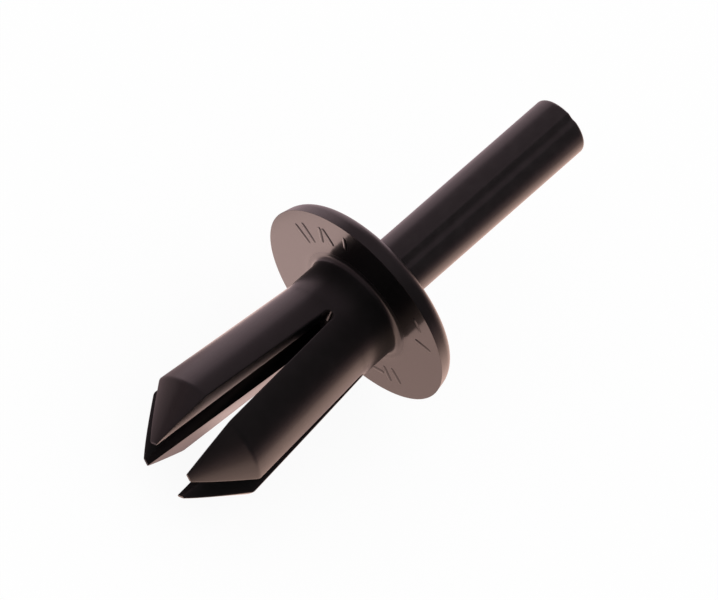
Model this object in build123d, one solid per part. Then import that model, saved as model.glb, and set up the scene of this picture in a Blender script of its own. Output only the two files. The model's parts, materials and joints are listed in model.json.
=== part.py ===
"""Plastic push rivet: a split-shank body and the drive pin that locks its four legs.

Sizes are in millimetres. Both pieces are drawn upright on the rivet's own axis, with the
underside of the head at height 0, the shank below it and the pin standing proud above it.
They are then laid down together the way a loose rivet comes to rest: on the rim of its head
and on the outer edges of two legs.
"""
from build123d import *

import os
from math import atan2, cos, degrees, radians, sin, sqrt, tan

# Head
head_radius = 8.0          # edge of the flat underside
head_height = 2.8          # underside to the top of the dome
rim_draft = 0.28           # how much narrower the rim is where its side would meet the dome
crown_radius = 20.7        # sphere that the dome is part of
shoulder_fillet = 1.2      # rounds the rim into the dome
mouth_bevel = 0.3          # leads the pin into the head
root_fillet = 0.35         # shank into the underside

# Shank and its four legs
shank_radius = 4.0
slot_start = 3.6           # depth below the head where the slots and the flare begin
leg_flare = 4.25           # outer surface of the legs, degrees from the rivet's axis
slot_half_width = 0.32     # at the round end of each slot
slot_flare = 3.75          # each side of a slot, degrees from the rivet's axis
facet_angle = 28.2         # flat on the end of each leg, degrees from the rivet's axis
facet_radius = 2.0         # distance of that flat from the axis at facet_depth
facet_depth = 18.8
leg_count = 4

# Drive pin
pin_radius = 2.22
pin_top = 20.25            # above the underside, before it is driven
pin_bottom = 2.4           # below the underside: the pin is held by the closed part of the shank
pin_end_bevel = 0.25
lead_length = 1.1          # taper at the lower end
lead_radius = 1.45
groove_width = 1.05
groove_depth = 0.26
groove_turn = 20.0         # first groove, degrees round from the slot that faces up
groove_count = 2

# Fit
bore_clearance = 0.035     # pin to bore, on the radius

OVERCUT = 1.0              # how far a cutter runs past what it cuts


def crown_drop(radius):
    """How far the dome lies below its top at a distance from the axis."""
    return crown_radius - sqrt(crown_radius**2 - radius**2)


def cone_radius(depth):
    """Outer radius of the legs at a depth below the head."""
    return shank_radius + (depth - slot_start) * tan(radians(leg_flare))


def outer_form():
    """Head and flared shank as one turned solid, before any cut."""
    bottom = facet_depth + OVERCUT
    rim_radius = head_radius - rim_draft
    rim_top = (rim_radius, head_height - crown_drop(rim_radius))
    half_way = rim_radius / 2
    root = (shank_radius, 0)
    outline = Polyline(
        (0, head_height),
        (0, -bottom),
        (cone_radius(bottom), -bottom),
        (shank_radius, -slot_start),
        root,
        (head_radius, 0),
        rim_top,
    )
    outline += ThreePointArc(rim_top, (half_way, head_height - crown_drop(half_way)), (0, head_height))
    section = make_face(outline)
    section = fillet(section.vertices().sort_by_distance(rim_top)[0], shoulder_fillet)
    section = fillet(section.vertices().sort_by_distance(root)[0], root_fillet)
    return revolve(Plane.XZ * section, Axis.Z)


def bore():
    """Straight channel for the pin through head, shank and between the legs."""
    radius = pin_radius + bore_clearance
    length = head_height + facet_depth + 2 * OVERCUT
    channel = Pos(0, 0, head_height + OVERCUT) * Cylinder(
        radius, length, align=(Align.CENTER, Align.CENTER, Align.MAX)
    )
    mouth = Pos(0, 0, head_height) * Cone(
        radius, radius + 2 * mouth_bevel, 2 * mouth_bevel, align=(Align.CENTER, Align.CENTER, Align.CENTER)
    )
    return channel + mouth


def slot(turn):
    """One V-shaped slot with a round upper end, cut right across the shank."""
    run = facet_depth + OVERCUT - slot_start
    wide = slot_half_width + run * tan(radians(slot_flare))
    reach = 2 * cone_radius(facet_depth + OVERCUT)
    outline = Polyline(
        (slot_half_width, -slot_start),
        (wide, -slot_start - run),
        (-wide, -slot_start - run),
        (-slot_half_width, -slot_start),
    )
    outline += ThreePointArc(
        (-slot_half_width, -slot_start),
        (0, -slot_start + slot_half_width),
        (slot_half_width, -slot_start),
    )
    return Rot(0, 0, turn) * extrude(Plane.XZ * make_face(outline), reach / 2, both=True)


def facet(turn):
    """Cutter for the flat that points one leg's end toward the axis."""
    tilt = radians(facet_angle)
    block = 4 * facet_radius + cone_radius(facet_depth)
    face = Plane(
        origin=(facet_radius, 0, -facet_depth),
        x_dir=(0, 1, 0),
        z_dir=(cos(tilt), 0, -sin(tilt)),
    )
    cutter = Box(block, 2 * block, block, align=(Align.CENTER, Align.CENTER, Align.MIN))
    return Rot(0, 0, turn) * (face * cutter)


def rivet_body():
    """Head, shank and four flared legs, moulded as one piece."""
    body = outer_form() - bore()
    quarter = 360 / leg_count
    for index in range(leg_count // 2):
        body -= slot(index * quarter)
    for index in range(leg_count):
        body -= facet((index + 0.5) * quarter)
    return body.solid()


def pin_groove(turn):
    """Cutter for one shallow round-bottomed groove along the pin."""
    half = groove_width / 2
    pin_sag = pin_radius - sqrt(pin_radius**2 - half**2)
    hollow = groove_depth - pin_sag
    radius = (half**2 + hollow**2) / (2 * hollow)
    angle = radians(turn - 90)
    away = pin_radius - groove_depth + radius
    length = pin_top + pin_bottom + 2 * OVERCUT
    return Pos(away * cos(angle), away * sin(angle), pin_top + OVERCUT) * Cylinder(
        radius, length, align=(Align.CENTER, Align.CENTER, Align.MAX)
    )


def drive_pin():
    """Round pin with a tapered lower end and a groove along each side."""
    outline = Polyline(
        (0, pin_top),
        (pin_radius - pin_end_bevel, pin_top),
        (pin_radius, pin_top - pin_end_bevel),
        (pin_radius, lead_length - pin_bottom),
        (lead_radius, -pin_bottom),
        (0, -pin_bottom),
        close=True,
    )
    pin = revolve(Plane.XZ * make_face(outline), Axis.Z)
    for index in range(groove_count):
        pin -= pin_groove(groove_turn + index * 360 / groove_count)
    return pin.solid()


def resting_tilt(body):
    """Angle of the axis when the rim and the lowest points of two legs touch the ground."""
    leg_points = [v for v in body.vertices() if v.Z < -slot_start and v.Y > 0]
    return min(degrees(atan2(head_radius - v.Y, -v.Z)) for v in leg_points)


def lay_down(pieces):
    """Turn the upright pieces onto rim and legs, pin toward +X, base centre at the origin."""
    tilt = resting_tilt(pieces["rivet_body"])
    upright_to_side = Rot(0, 90 - tilt, 0) * Rot(0, 0, -90)
    turned = {name: upright_to_side * piece for name, piece in pieces.items()}
    box = Compound(children=[piece.moved(Location()) for piece in turned.values()]).bounding_box()
    to_origin = Pos(-box.center().X, -box.center().Y, -box.min.Z)
    return {name: to_origin * piece for name, piece in turned.items()}


def main():
    """Write one STEP file for each piece."""
    os.makedirs("parts", exist_ok=True)
    pieces = lay_down({"rivet_body": rivet_body(), "drive_pin": drive_pin()})
    for name, piece in pieces.items():
        export_step(piece, f"parts/{name}.step")


main()
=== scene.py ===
"""Looks of a black plastic push rivet: a split-shank body and the drive pin that spreads its legs.

The body and the pin are closed surfaces made here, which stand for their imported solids, and the
small raised marks under the head are made here too. Lengths are in metres, apart from the
fields whose names end in _mm.
"""
import json
import logging
import math
from dataclasses import dataclass
from typing import Any

import bmesh
import bpy
import numpy as np
from mathutils import Matrix, Vector


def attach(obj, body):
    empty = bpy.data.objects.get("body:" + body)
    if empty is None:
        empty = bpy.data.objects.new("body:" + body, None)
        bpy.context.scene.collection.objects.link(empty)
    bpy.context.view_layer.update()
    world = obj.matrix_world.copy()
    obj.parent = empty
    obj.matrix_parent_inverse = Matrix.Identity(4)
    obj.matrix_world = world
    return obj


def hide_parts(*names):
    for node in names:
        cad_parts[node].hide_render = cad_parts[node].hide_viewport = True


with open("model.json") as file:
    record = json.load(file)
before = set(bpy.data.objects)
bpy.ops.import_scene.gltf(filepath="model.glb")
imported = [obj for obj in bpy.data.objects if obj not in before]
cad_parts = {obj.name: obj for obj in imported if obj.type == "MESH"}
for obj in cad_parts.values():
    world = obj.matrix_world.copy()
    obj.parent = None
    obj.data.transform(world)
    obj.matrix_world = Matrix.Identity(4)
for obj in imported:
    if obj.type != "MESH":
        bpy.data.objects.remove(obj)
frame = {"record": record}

Colour = tuple[float, float, float]

LOG = logging.getLogger("push_rivet")
MM = 0.001
QUARTER_TURN = 0.5 * math.pi
FULL_TURN = 2.0 * math.pi
SAME_PLACE = 1e-7
NOISE_MIDDLE = 0.5
WHITE = (1.0, 1.0, 1.0)


# --------------------------------------------------------------------------- the rivet's own axis


@dataclass(frozen=True)
class RivetAxis:
    """The rivet's own frame: its origin is the middle of the flat underside of the head.

    Local z runs along the rivet towards the pin, local y towards the floor and local x
    square to both. Local lengths are in millimetres.
    """

    origin: Vector
    turn: Matrix

    @classmethod
    def from_record(cls, record: dict[str, Any]) -> "RivetAxis":
        """Reads the frame from the shank's mount.

        Args:
            record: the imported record.

        Returns:
            The rivet's own frame.
        """
        shank = next(mount for mount in record["mounts"] if mount["name"] == "panel_shank")
        along = -Vector(shank["axis"]).normalized()
        across = Vector((0.0, -1.0, 0.0))
        down = along.cross(across)
        turn = Matrix((across, down, along)).transposed()
        return cls(Vector(shank["pos_m"]), turn)

    def place(self, points_mm: np.ndarray) -> np.ndarray:
        """Takes local points to the part's frame.

        Args:
            points_mm: points in local millimetres, with xyz as the last direction.

        Returns:
            The same points in metres in the part's frame, in the same order.
        """
        placed = points_mm.reshape(-1, 3) @ np.array(self.turn).T * MM + np.array(self.origin)
        return placed.reshape(points_mm.shape)


# --------------------------------------------------------------------------- shader maths


class Graph:
    """The node tree of one material or world, with one method that adds nodes."""

    def __init__(self, tree: bpy.types.NodeTree) -> None:
        """Empties the tree.

        Args:
            tree: the node tree to fill.
        """
        self.tree = tree
        tree.nodes.clear()

    def node(self, kind: str, settings: dict[str, Any] | None = None, **inputs: Any) -> bpy.types.Node:
        """Adds a node.

        Args:
            kind: the node's type, without its ShaderNode prefix.
            settings: the node's own properties, which are set first.
            **inputs: values or links for its sockets, with _ for a space, or in0, in1 by place.

        Returns:
            The new node.
        """
        made = self.tree.nodes.new("ShaderNode" + kind)
        for name, value in (settings or {}).items():
            setattr(made, name, value)
        for name, value in inputs.items():
            by_place = name.startswith("in") and name[2:].isdigit()
            socket = made.inputs[int(name[2:]) if by_place else name.replace("_", " ")]
            if isinstance(value, Wire):
                self.tree.links.new(value.socket, socket)
            elif isinstance(value, bpy.types.NodeSocket):
                self.tree.links.new(value, socket)
            else:
                socket.default_value = value
        return made

    def wire(self, kind: str, output: int | str = 0, settings: dict[str, Any] | None = None,
             **inputs: Any) -> "Wire":
        """Adds a node and wraps one of its outputs.

        Args:
            kind: the node's type, as for node().
            output: the output's place or name.
            settings: as for node().
            **inputs: as for node().

        Returns:
            The wrapped output.
        """
        return Wire(self, self.node(kind, settings, **inputs).outputs[output])

    def parts(self, vector: "Wire") -> list["Wire"]:
        """Splits a vector into its x, y and z."""
        return [Wire(self, output) for output in self.node("SeparateXYZ", Vector=vector).outputs]


class Wire:
    """One output socket. The usual operators on it add Math nodes."""

    def __init__(self, graph: Graph, socket: bpy.types.NodeSocket) -> None:
        """Wraps a socket.

        Args:
            graph: the tree that it belongs to.
            socket: the output socket.
        """
        self.graph = graph
        self.socket = socket

    def _maths(self, operation: str, first: Any, second: Any) -> "Wire":
        """Adds one Math node.

        Args:
            operation: the Math node's operation.
            first: its first input.
            second: its second input.

        Returns:
            The node's result.
        """
        return self.graph.wire("Math", settings={"operation": operation}, in0=first, in1=second)

    def __add__(self, other: Any) -> "Wire":
        """self + other."""
        return self._maths("ADD", self, other)

    def __radd__(self, other: Any) -> "Wire":
        """other + self."""
        return self._maths("ADD", other, self)

    def __sub__(self, other: Any) -> "Wire":
        """self - other."""
        return self._maths("SUBTRACT", self, other)

    def __rsub__(self, other: Any) -> "Wire":
        """other - self."""
        return self._maths("SUBTRACT", other, self)

    def __mul__(self, other: Any) -> "Wire":
        """self * other."""
        return self._maths("MULTIPLY", self, other)

    def __rmul__(self, other: Any) -> "Wire":
        """other * self."""
        return self._maths("MULTIPLY", other, self)

    def __truediv__(self, other: Any) -> "Wire":
        """self / other."""
        return self._maths("DIVIDE", self, other)

    def __rtruediv__(self, other: Any) -> "Wire":
        """other / self."""
        return self._maths("DIVIDE", other, self)

    def __pow__(self, other: Any) -> "Wire":
        """self ** other."""
        return self._maths("POWER", self, other)

    def __rpow__(self, other: Any) -> "Wire":
        """other ** self."""
        return self._maths("POWER", other, self)

    def rises(self, low: float, high: float) -> "Wire":
        """A smooth step.

        Args:
            low: where it is 0.
            high: where it is 1; it may lie below low.

        Returns:
            The step.
        """
        ends = (0.0, 1.0) if low < high else (1.0, 0.0)
        return self.graph.wire("MapRange", settings={"interpolation_type": "SMOOTHSTEP"}, in0=self,
                               in1=min(low, high), in2=max(low, high), in3=ends[0], in4=ends[1])

    def mix(self, first: Any, second: Any) -> "Wire":
        """Mixes two numbers by this mask.

        Args:
            first: the value where the mask is 0.
            second: the value where the mask is 1.

        Returns:
            The mixed value.
        """
        return self.graph.wire("Mix", settings={"data_type": "FLOAT"}, in0=self, in2=first, in3=second)

    def tint(self, first: Any, second: Any) -> "Wire":
        """Mixes two colours by this mask.

        Args:
            first: the colour where the mask is 0.
            second: the colour where the mask is 1.

        Returns:
            The mixed colour.
        """
        ends = [(*end, 1.0) if isinstance(end, tuple) else end for end in (first, second)]
        return self.graph.wire("Mix", output=2, settings={"data_type": "RGBA"},
                               in0=self, in6=ends[0], in7=ends[1])


def span(x: Wire, y: Wire) -> Wire:
    """The distance of a place from the axis that x and y are counted from."""
    return (x * x + y * y) ** 0.5


@dataclass(frozen=True)
class LocalPlace:
    """Where a shaded point lies in the rivet's own frame, as wires in millimetres."""

    point: Wire
    height: Wire
    radius: Wire

    @classmethod
    def on(cls, graph: Graph, axis: RivetAxis) -> "LocalPlace":
        """Adds the nodes that turn Object coordinates into local millimetres.

        Args:
            graph: the material's tree.
            axis: the rivet's own frame.

        Returns:
            The place, its height along the axis and its distance from it.
        """
        coordinates = graph.wire("TexCoord", output="Object")
        point = graph.wire("Mapping", settings={"vector_type": "TEXTURE"}, Vector=coordinates,
                           Location=axis.origin, Rotation=axis.turn.to_euler(), Scale=(MM, MM, MM))
        x, y, height = graph.parts(point)
        return cls(point, height, span(x, y))


# --------------------------------------------------------------------------- finishes


@dataclass(frozen=True)
class PolishedFace:
    """A flat face square to the rivet's axis that the mould leaves smooth."""

    height_mm: float
    depth_mm: float
    inner_radius_mm: float
    roughness: float
    inner_fade_mm: float = 0.2
    grain_lost: float = 0.85

    def mask(self, place: LocalPlace) -> Wire:
        """Marks the face: a band of heights times the radii beyond its inner one.

        Args:
            place: the local place.

        Returns:
            1 on the face and 0 off it.
        """
        low = self.height_mm - self.depth_mm
        high = self.height_mm + self.depth_mm
        above = place.height.rises(low - self.depth_mm, low)
        below = place.height.rises(high + self.depth_mm, high)
        beyond = place.radius.rises(self.inner_radius_mm - self.inner_fade_mm, self.inner_radius_mm)
        return above * below * beyond


@dataclass(frozen=True)
class Plastic:
    """Black moulded nylon: a satin skin with fine grain, flow marks and slightly soft edges.

    The flow marks are noise drawn out along the rivet, and the mottle is broad noise that
    fades the colour, swings the roughness and lifts the skin in low waves.
    """

    name: str
    colour: Colour
    colour_faded: Colour
    roughness: float
    coat_roughness: float
    grain_height_mm: float
    flow_height_mm: float
    wave_height_mm: float
    edge_softness_mm: float
    roughness_swing: float = 0.10
    grain_per_mm: float = 9.0
    grain_detail: float = 4.0
    grain_harshness: float = 0.6
    flow_per_mm: float = 4.5
    flow_detail: float = 2.0
    flow_drawn_out: float = 0.06
    mottle_per_mm: float = 1.3
    mottle_detail: float = 3.0
    fade_start: float = 0.35
    fade_end: float = 0.75
    edge_samples: int = 6
    refraction: float = 1.5

    def make(self, axis: RivetAxis, polished: PolishedFace | None = None) -> bpy.types.Material:
        """Builds the material.

        Args:
            axis: the rivet's own frame.
            polished: a face of the mould that is polished, if there is one.

        Returns:
            The material.
        """
        material = bpy.data.materials.new(self.name)
        material.use_nodes = True
        graph = Graph(material.node_tree)
        place = LocalPlace.on(graph, axis)
        mottle = graph.wire("TexNoise", Vector=place.point, Scale=self.mottle_per_mm,
                            Detail=self.mottle_detail)
        fine = graph.wire("TexNoise", Vector=place.point, Scale=self.grain_per_mm,
                          Detail=self.grain_detail, Roughness=self.grain_harshness)
        drawn = graph.wire("Mapping", Vector=place.point, Scale=(1.0, 1.0, self.flow_drawn_out))
        flow = graph.wire("TexNoise", Vector=drawn, Scale=self.flow_per_mm, Detail=self.flow_detail)
        colour = mottle.rises(self.fade_start, self.fade_end).tint(self.colour, self.colour_faded)
        broad_swing = (mottle - NOISE_MIDDLE) * self.roughness_swing
        fine_swing = (fine - NOISE_MIDDLE) * self.roughness_swing
        roughness = self.roughness + broad_swing + fine_swing
        grain = fine * self.grain_height_mm + flow * self.flow_height_mm
        if polished:
            mask = polished.mask(place)
            roughness = mask.mix(roughness, polished.roughness)
            grain = grain * (1.0 - mask * polished.grain_lost)
        relief = grain + mottle * self.wave_height_mm
        rounded = graph.wire("Bevel", settings={"samples": self.edge_samples},
                             Radius=self.edge_softness_mm * MM)
        bump = graph.wire("Bump", Height=relief, Distance=MM, Strength=1.0, Normal=rounded)
        shader = graph.node("BsdfPrincipled", Base_Color=colour, Roughness=roughness,
                            IOR=self.refraction, Coat_Weight=1.0, Coat_Roughness=self.coat_roughness,
                            Coat_IOR=self.refraction, Normal=bump)
        graph.node("OutputMaterial", Surface=shader.outputs[0])
        return material


SATIN_BODY = Plastic(
    name="black_body",
    colour=(0.0018, 0.0014, 0.0015),
    colour_faded=(0.0030, 0.0023, 0.0025),
    roughness=0.36,
    coat_roughness=0.24,
    grain_height_mm=0.0016,
    flow_height_mm=0.004,
    wave_height_mm=0.006,
    edge_softness_mm=0.06,
)
SATIN_PIN = Plastic(
    name="black_pin",
    colour=(0.0085, 0.0062, 0.0068),
    colour_faded=(0.0120, 0.0088, 0.0096),
    roughness=0.34,
    coat_roughness=0.26,
    grain_height_mm=0.0014,
    flow_height_mm=0.005,
    wave_height_mm=0.003,
    edge_softness_mm=0.10,
)
UNDERSIDE = PolishedFace(height_mm=0.0, depth_mm=0.02, inner_radius_mm=4.6, roughness=0.10)


# --------------------------------------------------------------------------- meshes


def surface_mesh(name: str, grids: list[np.ndarray]) -> bpy.types.Mesh:
    """Joins closed grids into one mesh.

    Each grid is points by (length, round, xyz), closed round its second direction. Its two
    ends are closed by fans to the mean of the end ring. The faces point outwards where that
    second direction turns by the right-hand rule about the first.

    Args:
        name: the mesh's name.
        grids: the grids, in metres.

    Returns:
        The mesh.
    """
    points, quads, fans, start = [], [], [], 0
    for grid in grids:
        rows, columns = grid.shape[:2]
        index = np.arange(rows * columns).reshape(rows, columns) + start
        after = np.roll(index, -1, axis=1)
        quads.append(np.stack([index[:-1], after[:-1], after[1:], index[1:]], axis=-1).reshape(-1, 4))
        first, last = start + rows * columns, start + rows * columns + 1
        fans.append(np.stack([after[0], index[0], np.full(columns, first)], axis=-1))
        fans.append(np.stack([index[-1], after[-1], np.full(columns, last)], axis=-1))
        points.append(np.vstack([grid.reshape(-1, 3), grid[0].mean(0), grid[-1].mean(0)]))
        start = last + 1
    faces = np.vstack(quads).tolist() + np.vstack(fans).tolist()
    mesh = bpy.data.meshes.new(name)
    mesh.from_pydata(np.vstack(points), [], faces)
    mesh.shade_smooth()
    return mesh


def rounded_corner(before: np.ndarray, corner: np.ndarray, after: np.ndarray, radius: float,
                   count: int) -> np.ndarray:
    """An arc that rounds the corner between two straight runs.

    It touches both runs at radius over the tangent of half the corner's angle from the corner,
    and its middle lies on their bisector.

    Args:
        before: a point on the first run.
        corner: where the runs meet.
        after: a point on the second run.
        radius: the arc's radius.
        count: how many points it gets.

    Returns:
        The arc's points, from the first run to the second.
    """
    back = (before - corner) / np.linalg.norm(before - corner)
    on = (after - corner) / np.linalg.norm(after - corner)
    half = 0.5 * math.acos(float(back @ on))
    middle = corner + (back + on) / np.linalg.norm(back + on) * radius / math.sin(half)
    first = (corner + back * radius / math.tan(half) - middle) / radius
    last = (corner + on * radius / math.tan(half) - middle) / radius
    sweep = math.acos(float(first @ last))
    share = np.linspace(0.0, 1.0, count)[:, None]
    spokes = np.sin((1.0 - share) * sweep) * first + np.sin(share * sweep) * last
    return middle + radius * spokes / math.sin(sweep)


def weld(mesh: bpy.types.Mesh, sharp_deg: float) -> None:
    """Merges points that coincide, turns the faces outwards and shades them smooth.

    Args:
        mesh: the mesh.
        sharp_deg: the angle in degrees past which an edge stays sharp.
    """
    shell = bmesh.new()
    shell.from_mesh(mesh)
    bmesh.ops.remove_doubles(shell, verts=shell.verts, dist=SAME_PLACE)
    bmesh.ops.dissolve_degenerate(shell, edges=shell.edges, dist=SAME_PLACE)
    bmesh.ops.recalc_face_normals(shell, faces=shell.faces)
    shell.to_mesh(mesh)
    shell.free()
    mesh.shade_smooth()
    mesh.set_sharp_from_angle(angle=math.radians(sharp_deg))


def add_object(mesh: bpy.types.Mesh, material: bpy.types.Material) -> bpy.types.Object:
    """Dresses a mesh and puts it into the scene as an object with the mesh's name.

    Args:
        mesh: the mesh, with its place in its points.
        material: its finish.

    Returns:
        The object, at the origin.
    """
    mesh.materials.append(material)
    piece = bpy.data.objects.new(mesh.name, mesh)
    bpy.context.scene.collection.objects.link(piece)
    return piece


# --------------------------------------------------------------------------- sub-assemblies


@dataclass(frozen=True)
class Bar:
    """One raised bar under the head: where its middle lies, its length and its lean."""

    turn_deg: float
    radius_mm: float
    length_mm: float
    lean_deg: float = 0.0


MARKS = (
    Bar(turn_deg=-158.0, radius_mm=6.1, length_mm=1.7),
    Bar(turn_deg=-150.0, radius_mm=6.1, length_mm=1.7),
    Bar(turn_deg=-136.0, radius_mm=6.1, length_mm=1.5, lean_deg=20.0),
    Bar(turn_deg=-129.0, radius_mm=6.1, length_mm=1.5, lean_deg=-20.0),
    Bar(turn_deg=-113.0, radius_mm=6.4, length_mm=1.3),
    Bar(turn_deg=-45.0, radius_mm=6.6, length_mm=1.2, lean_deg=90.0),
    Bar(turn_deg=-28.0, radius_mm=6.4, length_mm=1.4, lean_deg=15.0),
    Bar(turn_deg=38.0, radius_mm=6.1, length_mm=1.4),
    Bar(turn_deg=47.0, radius_mm=6.1, length_mm=1.4),
    Bar(turn_deg=56.0, radius_mm=6.1, length_mm=1.2, lean_deg=90.0),
)


@dataclass
class RaisedMarks:
    """Plain raised bars on the flat underside of the head, in a ring between shank and rim."""

    axis: RivetAxis
    finish: Plastic
    bars: tuple[Bar, ...] = MARKS
    width_mm: float = 0.42
    height_mm: float = 0.04
    root_mm: float = 0.03
    end_power: int = 4
    end_reach: float = 0.985
    rows: int = 18
    columns: int = 28

    def bar_grid(self, bar: Bar) -> np.ndarray:
        """The skin of one bar.

        Along it the section keeps its size and closes at both ends as a superellipse of the
        end's power. Across it the height is the square of one less the square of the place, a
        low ridge that runs out softly, and its back lies flat in the head, the root's depth down.
        The columns are turned round at the end, so that the faces point outwards.

        Args:
            bar: the bar.

        Returns:
            Its grid, in metres in the part's frame.
        """
        share = np.sin(np.linspace(-0.5, 0.5, self.rows) * math.pi * self.end_reach)[:, None]
        round_about = np.linspace(0.0, FULL_TURN, self.columns, endpoint=False)[None, :]
        end = (1.0 - share**self.end_power) ** (1.0 / self.end_power)
        across = np.cos(round_about)
        along = share * bar.length_mm / 2 + 0 * round_about
        sideways = across * end * self.width_mm / 2
        ridge = self.height_mm * end * (1.0 - across**2) ** 2
        depth = np.where(np.sin(round_about) > 0.0, -ridge, self.root_mm * end)
        turn, lean = math.radians(bar.turn_deg), math.radians(bar.lean_deg)
        radial = along * math.cos(lean) - sideways * math.sin(lean) + bar.radius_mm
        tangent = along * math.sin(lean) + sideways * math.cos(lean)
        x = radial * math.cos(turn) - tangent * math.sin(turn)
        y = radial * math.sin(turn) + tangent * math.cos(turn)
        return self.axis.place(np.stack([x, y, depth], axis=-1)[:, ::-1])

    def build(self) -> bpy.types.Object:
        """Makes the bars as one piece that rides on the rivet's body.

        Returns:
            The piece.
        """
        mesh = surface_mesh("raised_marks", [self.bar_grid(bar) for bar in self.bars])
        piece = add_object(mesh, self.finish.make(self.axis))
        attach(piece, "body")
        return piece


@dataclass(frozen=True)
class BodyRows:
    """How finely the body's skin is divided, down its outline and round the axis.

    The rows over the edge of the point are finer for point_edge_mm to each side, and those
    beside them start at beside_edge_mm. The columns are shares of the turn from a slot's side to
    the middle of a leg. They crowd at the slot, where the edge is rounded, and are even from
    there on.
    """

    mouth: int = 6
    crown: int = 14
    shoulder: int = 14
    face: int = 6
    root: int = 7
    shank: int = 8
    above_slot: int = 5
    slot_end: int = 10
    slot_side: int = 30
    point_edge: int = 9
    point: int = 14
    bore: int = 6
    point_edge_mm: float = 0.24
    beside_edge_mm: float = 0.3
    edge_columns: tuple[float, ...] = (0.0, 0.003, 0.009, 0.018, 0.029, 0.041, 0.06)
    even_from: float = 0.1
    even_columns: int = 14


@dataclass
class RivetBody:
    """The one-piece body: head, shank and four flared legs, turned to a point and split by V slots.

    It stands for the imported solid, whose legs end in flats. Depths run from the underside of
    the head towards the point, heights the other way.
    """

    axis: RivetAxis
    finish: Plastic
    underside: PolishedFace
    head_radius_mm: float = 8.0
    head_height_mm: float = 2.8
    rim_draft_mm: float = 0.28
    crown_radius_mm: float = 20.7
    shoulder_round_mm: float = 1.2
    mouth_round_mm: float = 0.3
    root_round_mm: float = 0.35
    shank_radius_mm: float = 3.88
    flare_depth_mm: float = 3.0
    flare_deg: float = 5.3
    point_depth_mm: float = 14.4
    point_deg: float = 33.7
    point_round_mm: float = 0.12
    tip_flat_mm: float = 0.18
    bore_radius_mm: float = 2.255
    slot_depth_mm: float = 3.6
    slot_half_mm: float = 0.32
    slot_flare_deg: float = 4.3
    edge_round_mm: float = 0.12
    legs: int = 4
    sharp_deg: float = 42.0
    rows: BodyRows = BodyRows()

    @property
    def widest_mm(self) -> float:
        """Radius where the flare would meet the point."""
        rise = self.point_depth_mm - self.flare_depth_mm
        return self.shank_radius_mm + rise * math.tan(math.radians(self.flare_deg))

    @property
    def tip_depth_mm(self) -> float:
        """Depth of the blunt ends of the legs."""
        narrowing = self.widest_mm - self.bore_radius_mm - self.tip_flat_mm
        return self.point_depth_mm + narrowing / math.tan(math.radians(self.point_deg))

    def crown_height(self, radius: np.ndarray | float) -> np.ndarray:
        """Height of the dome, a part of a sphere, at a distance from the axis."""
        return self.head_height_mm - self.crown_radius_mm + np.sqrt(self.crown_radius_mm**2 - radius**2)

    def outer_radius(self, depth: np.ndarray) -> np.ndarray:
        """Outer radius of shank and legs.

        The plain shank, a cone that widens below it and the cone of the point: the smaller of
        the two cones, less the square of their closeness, which rounds the edge between them.
        A quarter circle is added at the root of the shank.

        Args:
            depth: depths below the head.

        Returns:
            The radii there.
        """
        flare = np.maximum(depth - self.flare_depth_mm, 0.0) * math.tan(math.radians(self.flare_deg))
        wide = self.shank_radius_mm + flare
        point = self.widest_mm - (depth - self.point_depth_mm) * math.tan(math.radians(self.point_deg))
        near = np.maximum(self.point_round_mm - np.abs(wide - point), 0.0)
        root = np.clip(self.root_round_mm - depth, 0.0, self.root_round_mm)
        fillet = self.root_round_mm - np.sqrt(self.root_round_mm**2 - root**2)
        return np.minimum(wide, point) - near**2 / (4.0 * self.point_round_mm) + fillet

    def slot_half(self, depth: np.ndarray) -> np.ndarray:
        """Half width of a slot: none above it, a half circle at its end, then sides that part."""
        below = depth - self.slot_depth_mm
        round_end = np.sqrt(np.clip(self.slot_half_mm**2 - below**2, 0.0, None))
        sides = self.slot_half_mm + below * math.tan(math.radians(self.slot_flare_deg))
        return np.where(below < 0.0, round_end, sides)

    def slot_distance(self, side: np.ndarray, depth: np.ndarray) -> np.ndarray:
        """Distance from a slot's outline: square to its sides, or outwards from its round end."""
        below = depth - self.slot_depth_mm
        beside = (side - self.slot_half(depth)) * math.cos(math.radians(self.slot_flare_deg))
        around = np.hypot(side, below) - self.slot_half_mm
        return np.where(below > 0.0, beside, around)

    def slot_depths(self) -> np.ndarray:
        """Depths of the rows beside a slot.

        They are even turns of its round end, even steps down its sides, finer steps over the
        edge of the point, and even steps to the tip.

        Returns:
            The depths, from the top of the slot down.
        """
        rows = self.rows
        turns = np.linspace(0.0, QUARTER_TURN, rows.slot_end)[:-1]
        end = self.slot_depth_mm - self.slot_half_mm * np.cos(turns)
        sides = np.linspace(self.slot_depth_mm, self.point_depth_mm - rows.beside_edge_mm, rows.slot_side)
        edge = np.linspace(self.point_depth_mm - rows.point_edge_mm,
                           self.point_depth_mm + rows.point_edge_mm, rows.point_edge)
        point = np.linspace(self.point_depth_mm + rows.beside_edge_mm, self.tip_depth_mm, rows.point)
        return np.concatenate([end, sides, edge, point])

    def shank_rows(self) -> np.ndarray:
        """Radius and height down the outside, from the rim's lower edge to the top of the slots."""
        rows = self.rows
        quarter = np.linspace(0.0, QUARTER_TURN, rows.root)[1:]
        slot_top = self.slot_depth_mm - self.slot_half_mm
        depths = np.concatenate([
            self.root_round_mm * (1.0 - np.cos(quarter)),
            np.linspace(self.root_round_mm, self.flare_depth_mm, rows.shank)[1:],
            np.linspace(slot_top - self.edge_round_mm, slot_top, rows.above_slot)[:-1],
        ])
        shank = np.stack([self.outer_radius(depths), -depths], axis=-1)
        face = np.linspace(self.head_radius_mm, self.shank_radius_mm + self.root_round_mm, rows.face)
        return np.vstack([np.stack([face, 0.0 * face], axis=-1), shank])

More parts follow.
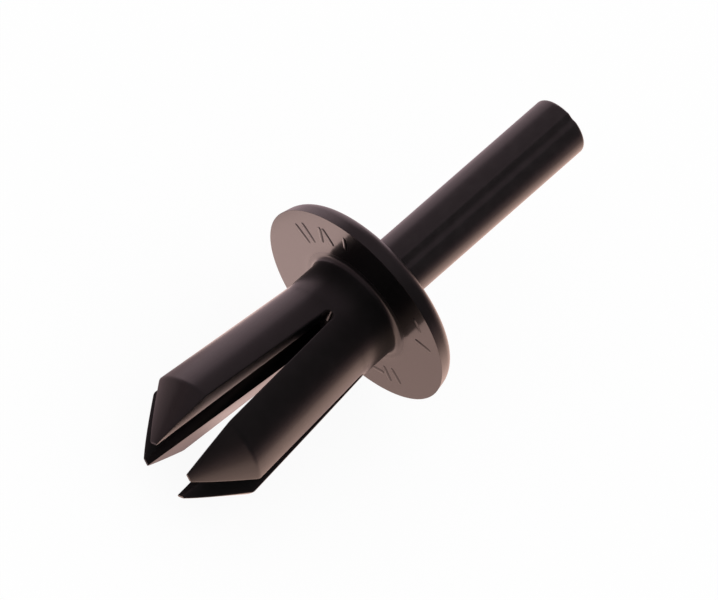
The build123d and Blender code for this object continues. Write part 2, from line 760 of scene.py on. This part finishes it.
    def head_rows(self) -> np.ndarray:
        """Radius and height of the bore's mouth, the dome, the shoulder's arc and the rim."""
        rows = self.rows
        quarter = np.linspace(0.0, QUARTER_TURN, rows.mouth)
        mouth_radius = self.bore_radius_mm + self.mouth_round_mm * (1.0 - np.cos(quarter))
        mouth_top = self.crown_height(self.bore_radius_mm + self.mouth_round_mm)
        mouth_height = mouth_top - self.mouth_round_mm * (1.0 - np.sin(quarter))
        rim_radius = self.head_radius_mm - self.rim_draft_mm
        rim_top = np.array([rim_radius, float(self.crown_height(rim_radius))])
        rim_foot = np.array([self.head_radius_mm, 0.0])
        crown_slope = rim_radius / math.sqrt(self.crown_radius_mm**2 - rim_radius**2)
        on_crown = rim_top + np.array([-1.0, crown_slope])
        shoulder = rounded_corner(rim_foot, rim_top, on_crown, self.shoulder_round_mm, rows.shoulder)[::-1]
        crown_radii = np.linspace(mouth_radius[-1], shoulder[0, 0], rows.crown)[1:-1]
        crown = np.stack([crown_radii, self.crown_height(crown_radii)], axis=-1)
        return np.vstack([np.stack([mouth_radius, mouth_height], axis=-1), crown, shoulder])

    def eighth(self) -> tuple[np.ndarray, np.ndarray]:
        """Half a leg with its share of shank and head.

        A closed outline of radii and heights is turned about the axis by an eighth of a circle.
        Where a slot runs, the turn starts at the slot's side instead of its middle, and close
        to the slot the skin drops by a quarter circle. The slot's wall joins the outer and the
        inner side of that start, row by row.

        Returns:
            The skin by (row, column, xyz), closed round its rows, and the wall by the same.
        """
        rows = self.rows
        depths = self.slot_depths()
        outside = np.stack([self.outer_radius(depths), -depths], axis=-1)
        inside = np.stack([np.full(depths.size, self.bore_radius_mm), -depths], axis=-1)[::-1]
        shank, head = self.shank_rows(), self.head_rows()
        bore_heights = np.linspace(-self.slot_depth_mm + self.slot_half_mm, head[0, 1], rows.bore)[1:-1]
        bore = np.stack([np.full(bore_heights.size, self.bore_radius_mm), bore_heights], axis=-1)
        ring = np.vstack([shank, outside, inside, bore, head])
        radius, depth = ring[:, :1], -ring[:, 1:]
        is_outside = np.arange(len(ring))[:, None] < len(shank) + len(outside)
        share = np.concatenate([rows.edge_columns, np.linspace(rows.even_from, 1.0, rows.even_columns)])
        start = np.arcsin(self.slot_half(depth) / radius)
        turn = start + share * (math.pi / self.legs - start)
        side = radius * np.sin(turn)
        closeness = np.clip(self.edge_round_mm - self.slot_distance(side, depth), 0.0, self.edge_round_mm)
        drop = is_outside * (self.edge_round_mm - np.sqrt(self.edge_round_mm**2 - closeness**2))
        reach = np.sqrt((radius - drop) ** 2 - side**2)
        skin = np.stack([reach, side, -depth + 0.0 * side], axis=-1)
        first, middle, last = len(shank), len(shank) + len(outside), len(shank) + 2 * len(outside)
        wall = np.stack([skin[first:middle, 0], skin[middle:last, 0][::-1]], axis=1)
        return skin, wall

    def build(self) -> bpy.types.Object:
        """Makes the body from eight turned and mirrored eighths, welded where they meet.

        Returns:
            The piece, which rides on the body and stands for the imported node.
        """
        skin, wall = self.eighth()
        points, faces, start = [], [], 0
        for grid, closed in ((skin, True), (wall, False)):
            index = np.arange(grid.shape[0] * grid.shape[1]).reshape(grid.shape[:2])
            below = np.roll(index, -1, axis=0) if closed else index[1:]
            above = index if closed else index[:-1]
            corners = [above[:, :-1], above[:, 1:], below[:, 1:], below[:, :-1]]
            quads = np.stack(corners, axis=-1).reshape(-1, 4)
            for leg in range(self.legs):
                turned = np.array(Matrix.Rotation(FULL_TURN * leg / self.legs, 3, "Z"))
                for mirror in (1.0, -1.0):
                    points.append((grid.reshape(-1, 3) * (1.0, mirror, 1.0)) @ turned.T)
                    faces.append(quads + start)
                    start += index.size
        mesh = bpy.data.meshes.new("rivet_shell")
        mesh.from_pydata(self.axis.place(np.vstack(points)), [], np.vstack(faces).tolist())
        weld(mesh, self.sharp_deg)
        piece = add_object(mesh, self.finish.make(self.axis, self.underside))
        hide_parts("rivet_body")
        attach(piece, "body")
        return piece


@dataclass
class DrivePin:
    """The round pin: a rounded top, a tapered lower end and a soft groove along each side.

    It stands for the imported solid, whose grooves have sharp edges and whose top is bevelled.
    Turns are counted round the rivet's axis from the local x axis.
    """

    axis: RivetAxis
    finish: Plastic
    radius_mm: float = 2.222
    top_mm: float = 20.4
    bottom_mm: float = 2.4
    top_round_mm: float = 0.28
    lead_mm: float = 1.1
    lead_radius_mm: float = 1.45
    grooves: int = 2
    groove_turn_deg: float = -75.0
    groove_half_deg: float = 12.0
    groove_depth_mm: float = 0.13
    lip_turn_deg: float = -88.0
    lip_half_deg: float = 4.5
    lip_height_mm: float = 0.03
    plain_core: float = 0.5
    sharp_deg: float = 50.0
    columns: int = 240
    top_rows: int = 8
    lead_rows: int = 6
    shaft_rows: int = 40
    face_rings: tuple[float, ...] = (0.15, 0.5, 0.85)

    def swell(self, turn: np.ndarray, middle: float, half: float) -> np.ndarray:
        """A soft swell of height 1, which repeats evenly round the pin, once for each groove.

        It is the square of one less the square of the place across it.

        Args:
            turn: turns in degrees.
            middle: the turn of its crest.
            half: the turn from its crest to its foot.

        Returns:
            Its height at those turns.
        """
        period = 360.0 / self.grooves
        place = (turn - middle + period / 2) % period - period / 2
        return np.clip(1.0 - (place / half) ** 2, 0.0, 1.0) ** 2

    def relief(self, turn: np.ndarray) -> np.ndarray:
        """How far the grooves and the lips beside them stand in or out at turns in degrees."""
        lip = self.lip_height_mm * self.swell(turn, self.lip_turn_deg, self.lip_half_deg)
        return lip - self.groove_depth_mm * self.swell(turn, self.groove_turn_deg, self.groove_half_deg)

    def profile(self) -> tuple[np.ndarray, np.ndarray]:
        """The pin's outline: its lower face, its taper, its shaft, a quarter circle and its top.

        The two faces close by rings that shrink to the middle.

        Returns:
            Radii and heights, from the lower face up.
        """
        faces = np.array(self.face_rings)
        foot, knee = -self.bottom_mm, self.lead_mm - self.bottom_mm
        quarter = np.linspace(0.0, QUARTER_TURN, self.top_rows)[1:]
        shaft = np.linspace(knee, self.top_mm - self.top_round_mm, self.shaft_rows)
        flat = self.radius_mm - self.top_round_mm
        radius = np.concatenate([
            self.lead_radius_mm * faces,
            np.linspace(self.lead_radius_mm, self.radius_mm, self.lead_rows)[:-1],
            np.full(shaft.size, self.radius_mm),
            flat + self.top_round_mm * np.cos(quarter),
            flat * faces[::-1],
        ])
        height = np.concatenate([
            np.full(faces.size, foot),
            np.linspace(foot, knee, self.lead_rows)[:-1],
            shaft,
            self.top_mm - self.top_round_mm * (1.0 - np.sin(quarter)),
            np.full(faces.size, self.top_mm),
        ])
        return radius, height

    def grid(self) -> np.ndarray:
        """The skin: the outline turned about the axis, with the relief added.

        The relief is whole at the full radius and fades to none at the plain core's.

        Returns:
            Its grid in local millimetres.
        """
        radius, height = self.profile()
        turn = np.linspace(0.0, FULL_TURN, self.columns, endpoint=False)
        core = self.plain_core * self.radius_mm
        share = np.clip((radius - core) / (self.radius_mm - core), 0.0, 1.0)[:, None]
        reach = radius[:, None] + share * self.relief(np.degrees(turn))[None, :]
        return np.stack([reach * np.cos(turn), reach * np.sin(turn), height[:, None] + 0.0 * reach], axis=-1)

    def build(self) -> bpy.types.Object:
        """Makes the pin.

        Returns:
            The piece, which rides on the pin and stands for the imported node.
        """
        mesh = surface_mesh("pin_shell", [self.axis.place(self.grid())])
        weld(mesh, self.sharp_deg)
        piece = add_object(mesh, self.finish.make(self.axis))
        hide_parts("drive_pin")
        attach(piece, "pin")
        return piece


# --------------------------------------------------------------------------- the studio


def direction(azimuth_deg: float, elevation_deg: float) -> Vector:
    """The unit vector at a turn from x towards y and a rise above the floor.

    Args:
        azimuth_deg: the turn in degrees.
        elevation_deg: the rise in degrees.

    Returns:
        The vector.
    """
    azimuth, elevation = math.radians(azimuth_deg), math.radians(elevation_deg)
    return Vector((math.cos(azimuth) * math.cos(elevation), math.sin(azimuth) * math.cos(elevation),
                   math.sin(elevation)))


@dataclass(frozen=True)
class CameraStand:
    """A long lens that looks down on the rivet, tilted about its own line of sight."""

    aim: tuple[float, float, float] = (-0.000605, 0.000081, 0.008062)
    distance: float = 0.55556
    azimuth_deg: float = -164.06
    elevation_deg: float = 52.67
    roll_deg: float = 31.8
    lens_mm: float = 413.57
    sensor_mm: float = 36.0
    nearest: float = 0.01
    farthest: float = 20.0

    def build(self) -> bpy.types.Object:
        """Places the camera and makes it the scene's.

        Returns:
            The camera.
        """
        azimuth, roll = math.radians(self.azimuth_deg), math.radians(self.roll_deg)
        back = direction(self.azimuth_deg, self.elevation_deg)
        level = Vector((-math.sin(azimuth), math.cos(azimuth), 0.0))
        upright = back.cross(level)
        right = level * math.cos(roll) + upright * math.sin(roll)
        stand = Matrix((right, back.cross(right), back)).transposed().to_4x4()
        stand.translation = Vector(self.aim) + back * self.distance
        data = bpy.data.cameras.new("camera")
        data.lens = self.lens_mm
        data.sensor_width = self.sensor_mm
        data.clip_start = self.nearest
        data.clip_end = self.farthest
        camera = bpy.data.objects.new("camera", data)
        camera.matrix_world = stand
        bpy.context.scene.collection.objects.link(camera)
        bpy.context.scene.camera = camera
        return camera


@dataclass(frozen=True)
class SoftBox:
    """A rectangular area lamp that faces the rivet from a direction."""

    name: str
    azimuth_deg: float
    elevation_deg: float
    distance: float
    width: float
    height: float
    radiance: float
    colour: Colour

    def build(self) -> bpy.types.Object:
        """Hangs the lamp.

        Its power is its radiance times pi times its area.

        Returns:
            The lamp.
        """
        data = bpy.data.lights.new(self.name, "AREA")
        data.shape = "RECTANGLE"
        data.size = self.width
        data.size_y = self.height
        data.energy = self.radiance * math.pi * self.width * self.height
        data.color = self.colour
        towards = direction(self.azimuth_deg, self.elevation_deg)
        lamp = bpy.data.objects.new(self.name, data)
        lamp.rotation_mode = "QUATERNION"
        lamp.rotation_quaternion = towards.to_track_quat("Z", "Y")
        lamp.location = towards * self.distance
        bpy.context.scene.collection.objects.link(lamp)
        return lamp


@dataclass(frozen=True)
class RayKind:
    """What sort of ray meets the table or the sky, as wires of 0 or 1."""

    seen: Wire
    mirrored: Wire
    passed: Wire
    mirrored_again: Wire

    @classmethod
    def on(cls, graph: Graph) -> "RayKind":
        """Adds the node that tells the rays apart.

        Args:
            graph: the tree of the table's material or of the world.

        Returns:
            The ray's kind.
        """
        path = graph.node("LightPath")
        names = ("Is Camera Ray", "Is Glossy Ray", "Is Transmission Ray", "Glossy Depth")
        seen, mirrored, passed, depth = (Wire(graph, path.outputs[name]) for name in names)
        return cls(seen, mirrored, passed, depth.rises(1.0, 2.0))


@dataclass(frozen=True)
class PaintedTableReflection:
    """Painted reflection of one side of the table, close to the rivet, round it and far off, seen only by a
    gloss; a near colour darker than the middle one is painted shade.
    """

    near: Colour
    middle: Colour
    far: Colour
    near_end: float = 0.009
    middle_start: float = 0.013
    middle_end: float = 0.035
    far_start: float = 0.09

    def colour(self, distance: Wire) -> Wire:
        """Blends the three colours by the distance from the rivet's middle.

        Args:
            distance: that distance in metres.

        Returns:
            The colour.
        """
        beside = distance.rises(self.near_end, self.middle_start).tint(self.near, self.middle)
        return distance.rises(self.middle_end, self.far_start).tint(beside, self.far)


@dataclass(frozen=True)
class Studio:
    """A white table under a soft lamp; a gloss sees painted reflections, pale and warm ones of the table and
    dim ones of a ceiling.

    Right is where y is below 0 and left where it is above. On the left side of the table's painted
    reflection the back starts where x, as a share of the distance, has fallen to left_until, and it is whole
    at back_from.
    """

    floor_half: float = 1.5
    floor_white: Colour = (0.92, 0.92, 0.92)
    glow_share: float = 0.93
    # painted reflections of the table, seen only by a gloss: on the right the near colour is painted shade
    # under the rivet, on the left it is painted light
    painted_reflection_right: PaintedTableReflection = PaintedTableReflection(
        near=(0.80, 0.55, 0.49), middle=(1.15, 0.78, 0.66), far=(0.36, 0.23, 0.21),
        middle_end=0.028, far_start=0.07)
    painted_reflection_left: PaintedTableReflection = PaintedTableReflection(
        near=(1.32, 0.95, 0.88), middle=(0.56, 0.41, 0.44), far=(0.60, 0.45, 0.49))
    painted_reflection_back: PaintedTableReflection = PaintedTableReflection(
        near=(1.32, 0.95, 0.88), middle=(0.30, 0.21, 0.22), far=(0.10, 0.06, 0.07))
    turn_over: float = 0.003
    left_until: float = 0.25
    back_from: float = -0.5
    # painted shade: the table and the sky, seen in a reflection of a reflection, are dimmed to this share
    second_reflection_shade: float = 0.3
    fill: float = 1.0
    # painted reflections: the ceiling and the horizon are seen only by a gloss and light nothing
    ceiling_right: Colour = (0.035, 0.023, 0.026)
    ceiling_left: Colour = (0.16, 0.11, 0.125)
    ceiling_right_until: float = -0.55
    ceiling_left_from: float = 0.25
    horizon: Colour = (0.24, 0.15, 0.155)
    horizon_until: float = 0.25
    lamps: tuple[SoftBox, ...] = (
        SoftBox(name="left_box", azimuth_deg=52.0, elevation_deg=10.0, distance=0.9, width=0.80,
                height=0.36, radiance=0.38, colour=(1.0, 0.76, 0.83)),
    )

    def build(self) -> None:
        """Makes the floor, the world and the lamps."""
        self._floor()
        self._world()
        for lamp in self.lamps:
            lamp.build()
        bpy.context.scene.view_settings.view_transform = "Standard"

    def _painted_table_reflection(self, graph: Graph) -> Wire:
        """The painted reflection of the table, in colours that only a gloss sees, blended from side to side.

        Args:
            graph: the tree of the table's material.

        Returns:
            The colour.
        """
        x, y, _ = graph.parts(graph.wire("TexCoord", output="Object"))
        distance = span(x, y)
        side = y.rises(-self.turn_over, self.turn_over)
        ahead = (x / distance).rises(self.back_from, self.left_until)
        left = ahead.tint(self.painted_reflection_back.colour(distance), self.painted_reflection_left.colour(distance))
        return side.tint(self.painted_reflection_right.colour(distance), left)

    def _floor(self) -> None:
        """A flat white sheet. Seen straight it glows evenly white and keeps some shadow; in a gloss it glows
        in painted reflection colours.
        """
        corners = np.array([(-1, -1, 0), (1, -1, 0), (1, 1, 0), (-1, 1, 0)], float) * self.floor_half
        mesh = bpy.data.meshes.new("floor")
        mesh.from_pydata(corners, [], [(0, 1, 2, 3)])
        material = bpy.data.materials.new("white_table")
        material.use_nodes = True
        graph = Graph(material.node_tree)
        ray = RayKind.on(graph)
        # painted reflection: a gloss sees the table in these colours instead of its white
        colour = ray.mirrored.tint(WHITE, self._painted_table_reflection(graph))
        # painted shade: dimmer in a reflection of a reflection
        strength = ray.mirrored_again.mix(1.0, self.second_reflection_shade)
        glow = graph.node("Emission", Color=colour, Strength=strength)
        board = graph.node("BsdfDiffuse", Color=(*self.floor_white, 1.0))
        share = (ray.seen + ray.passed) * self.glow_share + ray.mirrored
        mixed = graph.node("MixShader", in0=share, in1=board.outputs[0], in2=glow.outputs[0])
        graph.node("OutputMaterial", Surface=mixed.outputs[0])
        add_object(mesh, material)

    def _world(self) -> None:
        """White to the eye, painted reflections of a dim ceiling and a paler horizon to a gloss, plain fill
        light.
        """
        world = bpy.data.worlds.new("world")
        bpy.context.scene.world = world
        world.use_nodes = True
        graph = Graph(world.node_tree)
        ray = RayKind.on(graph)
        _, side, height = graph.parts(graph.wire("TexCoord", output="Generated"))
        turn = side.rises(self.ceiling_right_until, self.ceiling_left_from)
        ceiling = turn.tint(self.ceiling_right, self.ceiling_left)
        # painted reflection of a dim ceiling, darker on the right, over a paler horizon
        gloss = height.rises(0.0, self.horizon_until).tint(self.horizon, ceiling)
        plain = (self.fill, self.fill, self.fill)
        colour = ray.seen.tint(ray.mirrored.tint(plain, gloss), WHITE)
        # painted shade: dimmer in a reflection of a reflection
        strength = ray.mirrored_again.mix(1.0, self.second_reflection_shade)
        sky = graph.node("Background", Color=colour, Strength=strength)
        graph.node("OutputWorld", Surface=sky.outputs[0])


# --------------------------------------------------------------------------- the whole


def main() -> None:
    """Builds the camera, the rivet's pieces and the studio."""
    logging.basicConfig(level=logging.INFO, format="%(name)s: %(message)s")
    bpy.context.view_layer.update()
    CameraStand().build()
    axis = RivetAxis.from_record(frame["record"])
    sub_assemblies = (
        RivetBody(axis, SATIN_BODY, UNDERSIDE),
        RaisedMarks(axis, SATIN_BODY),
        DrivePin(axis, SATIN_PIN),
    )
    for sub_assembly in sub_assemblies:
        piece = sub_assembly.build()
        LOG.info("%s: %d vertices", piece.name, len(piece.data.vertices))
    studio = Studio()
    studio.build()
    LOG.info("studio: %d lamp", len(studio.lamps))


if __name__ == "__main__":
    main()
